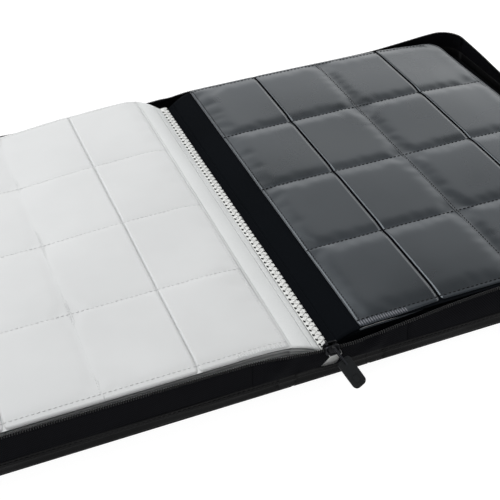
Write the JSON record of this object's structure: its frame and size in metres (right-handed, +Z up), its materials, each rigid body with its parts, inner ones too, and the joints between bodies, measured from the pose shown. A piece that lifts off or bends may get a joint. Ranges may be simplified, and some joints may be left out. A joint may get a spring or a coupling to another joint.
{
  "type": "trading card binder",
  "caption": "Zip-around binder for trading cards, open flat, with side-loading pocket leaves bound to the spine and zip walls around both covers.",
  "frame": {"origin": "centre of the spine's underside, on the surface the open binder lies on", "axes": "+X across the open binder to the right-hand cover, +Y away from the reader along the spine, +Z up"},
  "size_m": [0.6472, 0.4181, 0.0327],
  "materials": {
    "leatherette": "fine-grained black artificial leather",
    "grey_board": "pressed paper board, hidden inside the covers",
    "lining_cloth": "black woven lining",
    "woven_zip_tape": "black herringbone polyester tape",
    "nylon_coil": "black nylon coil",
    "white_sheet": "white textured divider sheet",
    "black_sheet": "black textured divider sheet",
    "clear_film": "clear embossed polypropylene film",
    "binding_core": "sewn edges of the leaves",
    "binding_web": "white woven binding tape",
    "white_thread": "white polyester thread",
    "zip_metal": "gun-metal plated zinc",
    "soft_rubber": "matt dark grey moulded rubber"
  },
  "bodies": {
    "spine": {"spine_skin": "leatherette", "spine_board": "grey_board", "spine_lining": "lining_cloth", "spine_front_band": "leatherette", "spine_back_band": "leatherette", "front_tape_end": "woven_zip_tape", "back_tape_end": "woven_zip_tape", "binding_block": "binding_core", "binding_tape": "binding_web", "zigzag_thread": "white_thread"},
    "left_cover": {"left_cover_skin": "leatherette", "left_cover_board": "grey_board", "left_cover_lining": "lining_cloth", "left_wall_band": "leatherette", "left_zip_tape": "woven_zip_tape", "left_zip_coil": "nylon_coil"},
    "left_leaves": {"left_leaf_01": "white_sheet", "left_leaf_02": "white_sheet", "left_leaf_03": "white_sheet", "left_leaf_04": "white_sheet", "left_leaf_05": "white_sheet", "left_leaf_06": "white_sheet", "left_leaf_07": "white_sheet", "left_leaf_08": "white_sheet", "left_leaf_09": "white_sheet"},
    "left_top_leaf": {"left_leaf_10": "white_sheet", "left_film_inner": "clear_film", "left_film_middle": "clear_film", "left_film_outer": "clear_film"},
    "right_cover": {"right_cover_skin": "leatherette", "right_cover_board": "grey_board", "right_cover_lining": "lining_cloth", "right_wall_band": "leatherette", "right_zip_tape": "woven_zip_tape", "right_zip_coil": "nylon_coil"},
    "right_leaves": {"right_leaf_01": "black_sheet", "right_leaf_02": "black_sheet", "right_leaf_03": "black_sheet", "right_leaf_04": "black_sheet", "right_leaf_05": "black_sheet", "right_leaf_06": "black_sheet", "right_leaf_07": "black_sheet", "right_leaf_08": "black_sheet", "right_leaf_09": "black_sheet"},
    "right_top_leaf": {"right_leaf_10": "black_sheet", "right_film_inner": "clear_film", "right_film_middle": "clear_film", "right_film_outer": "clear_film"},
    "zip_end": {"zip_stop": "zip_metal"},
    "slider": {"zip_slider": "zip_metal"},
    "puller": {"pull_link": "zip_metal", "rubber_puller": "soft_rubber"}
  },
  "joints": [
    {"name": "left_cover_fold", "type": "hinge", "parent": "spine", "child": "left_cover", "pos_m": [-0.029, 0, 0], "axis": [0, 1, 0], "range_deg": [0, 90]},
    {"name": "right_cover_fold", "type": "hinge", "parent": "spine", "child": "right_cover", "pos_m": [0.029, 0, 0], "axis": [0, -1, 0], "range_deg": [0, 90]},
    {"name": "left_leaves_fold", "type": "hinge", "parent": "spine", "child": "left_leaves", "pos_m": [-0.0165, 0, 0.0125], "axis": [0, 1, 0], "range_deg": [0, 90]},
    {"name": "right_leaves_fold", "type": "hinge", "parent": "spine", "child": "right_leaves", "pos_m": [0.0165, 0, 0.0125], "axis": [0, -1, 0], "range_deg": [0, 90]},
    {"name": "left_leaf_turn", "type": "hinge", "parent": "left_leaves", "child": "left_top_leaf", "pos_m": [0, 0, 0.0273], "axis": [0, -1, 0], "range_deg": [-180, 0]},
    {"name": "right_leaf_turn", "type": "hinge", "parent": "right_leaves", "child": "right_top_leaf", "pos_m": [0, 0, 0.0273], "axis": [0, 1, 0], "range_deg": [-180, 0]},
    {"name": "zip_end_turn", "type": "hinge", "parent": "spine", "child": "zip_end", "pos_m": [0, -0.1964, 0.029], "axis": [0, -1, 0], "range_deg": [0, 90]},
    {"name": "zip_slide", "type": "slide", "parent": "zip_end", "child": "slider", "axis": [1, 0, 0], "range_m": [0, 0.235]},
    {"name": "puller_swing", "type": "hinge", "parent": "slider", "child": "puller", "pos_m": [0, -0.203, 0.029], "axis": [-1, 0, 0], "range_deg": [-5, 115]}
  ],
  "couplings": [
    {"joint": "left_leaves_fold", "follows": "left_cover_fold", "ratio": 1},
    {"joint": "right_leaves_fold", "follows": "right_cover_fold", "ratio": 1},
    {"joint": "zip_end_turn", "follows": "right_cover_fold", "ratio": 1}
  ]
}
